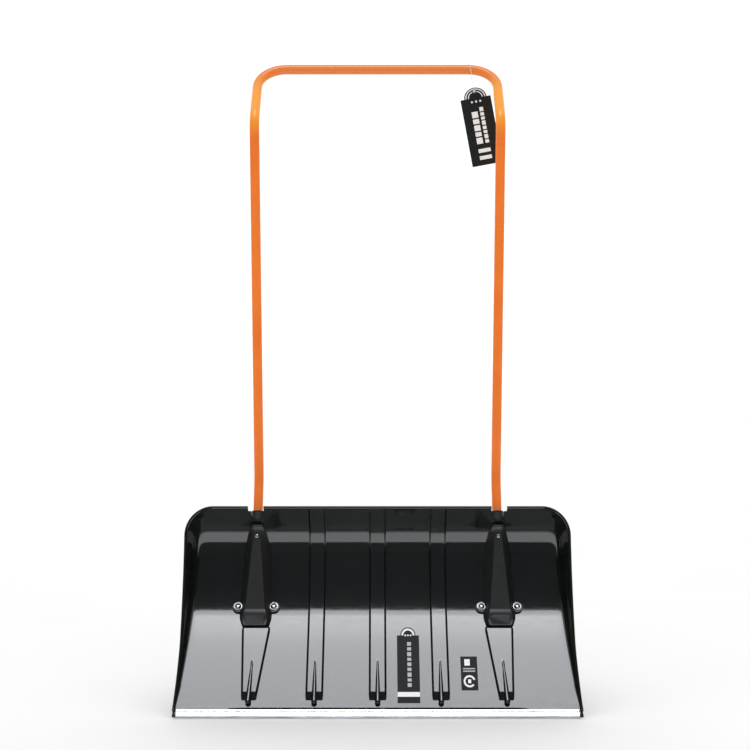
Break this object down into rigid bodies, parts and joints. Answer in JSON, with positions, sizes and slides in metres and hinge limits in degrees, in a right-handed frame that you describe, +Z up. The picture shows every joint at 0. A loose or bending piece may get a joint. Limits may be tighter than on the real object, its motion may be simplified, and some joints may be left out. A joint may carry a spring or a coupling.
{
  "type": "wheeled snow shovel",
  "caption": "Wide black snow scoop with an aluminium edge, a tall orange U-shaped tube handle, bolted tube holders, small wheels behind and a hanging card tag.",
  "frame": {"origin": "middle of the flat foot of the cutting edge, where the shovel stands on the floor", "axes": "+X to the right of someone facing the scoop's open side, +Y towards the back where the user walks, +Z up; the shovel is stored upright"},
  "size_m": [0.8119, 0.2735, 1.338],
  "materials": {
    "scoop_plastic": "glossy injection-moulded black plastic",
    "edge_aluminium": "plain extruded aluminium, lightly brushed along its length",
    "handle_paint": "orange powder coat, semi-gloss",
    "holder_plastic": "fine-textured black plastic",
    "collar_rubber": "black rubber, slightly shiny",
    "zinc": "bright zinc plate",
    "plug_plastic": "dark grey plastic",
    "tyre_rubber": "matt black rubber",
    "hub_plastic": "dark grey plastic",
    "bush_plastic": "natural nylon",
    "tie_nylon": "clear to white nylon",
    "tag_card": "black printed card with a satin coat",
    "label_film": "dark printed film"
  },
  "bodies": {
    "shovel": {"scoop": "scoop_plastic", "cutting_edge": "edge_aluminium", "edge_screw_1": "zinc", "edge_screw_2": "zinc", "edge_screw_3": "zinc", "edge_screw_4": "zinc", "edge_screw_5": "zinc", "edge_screw_6": "zinc", "edge_screw_7": "zinc", "handle_tube": "handle_paint", "left_tube_collar": "collar_rubber", "left_tube_end_plug": "plug_plastic", "left_tube_holder": "holder_plastic", "left_tube_screw": "zinc", "left_wheel_fork": "zinc", "left_holder_bolt_a": "zinc", "left_holder_washer_a": "zinc", "left_holder_nut_a": "zinc", "left_holder_bolt_b": "zinc", "left_holder_washer_b": "zinc", "left_holder_nut_b": "zinc", "left_axle_bolt": "zinc", "left_axle_nut": "zinc", "left_axle_sleeve": "zinc", "right_tube_collar": "collar_rubber", "right_tube_end_plug": "plug_plastic", "right_tube_holder": "holder_plastic", "right_tube_screw": "zinc", "right_wheel_fork": "zinc", "right_holder_bolt_a": "zinc", "right_holder_washer_a": "zinc", "right_holder_nut_a": "zinc", "right_holder_bolt_b": "zinc", "right_holder_washer_b": "zinc", "right_holder_nut_b": "zinc", "right_axle_bolt": "zinc", "right_axle_nut": "zinc", "right_axle_sleeve": "zinc", "tall_label": "label_film", "small_label": "label_film"},
    "left_wheel": {"left_tyre": "tyre_rubber", "left_wheel_hub": "hub_plastic", "left_hub_bush_a": "bush_plastic", "left_hub_bush_b": "bush_plastic"},
    "right_wheel": {"right_tyre": "tyre_rubber", "right_wheel_hub": "hub_plastic", "right_hub_bush_a": "bush_plastic", "right_hub_bush_b": "bush_plastic"},
    "tag": {"hang_tag": "tag_card", "tag_eyelet": "zinc", "tag_tie": "tie_nylon"}
  },
  "joints": [
    {"name": "left_wheel_spin", "type": "hinge", "parent": "shovel", "child": "left_wheel", "pos_m": [-0.252, 0.215, 0.0552], "axis": [1, 0, 0], "continuous": true},
    {"name": "right_wheel_spin", "type": "hinge", "parent": "shovel", "child": "right_wheel", "pos_m": [0.252, 0.215, 0.0552], "axis": [1, 0, 0], "continuous": true},
    {"name": "tag_swing", "type": "hinge", "parent": "shovel", "child": "tag", "pos_m": [0.197, 0.212, 1.325], "axis": [1, 0, 0], "range_deg": [-20, 60]}
  ]
}
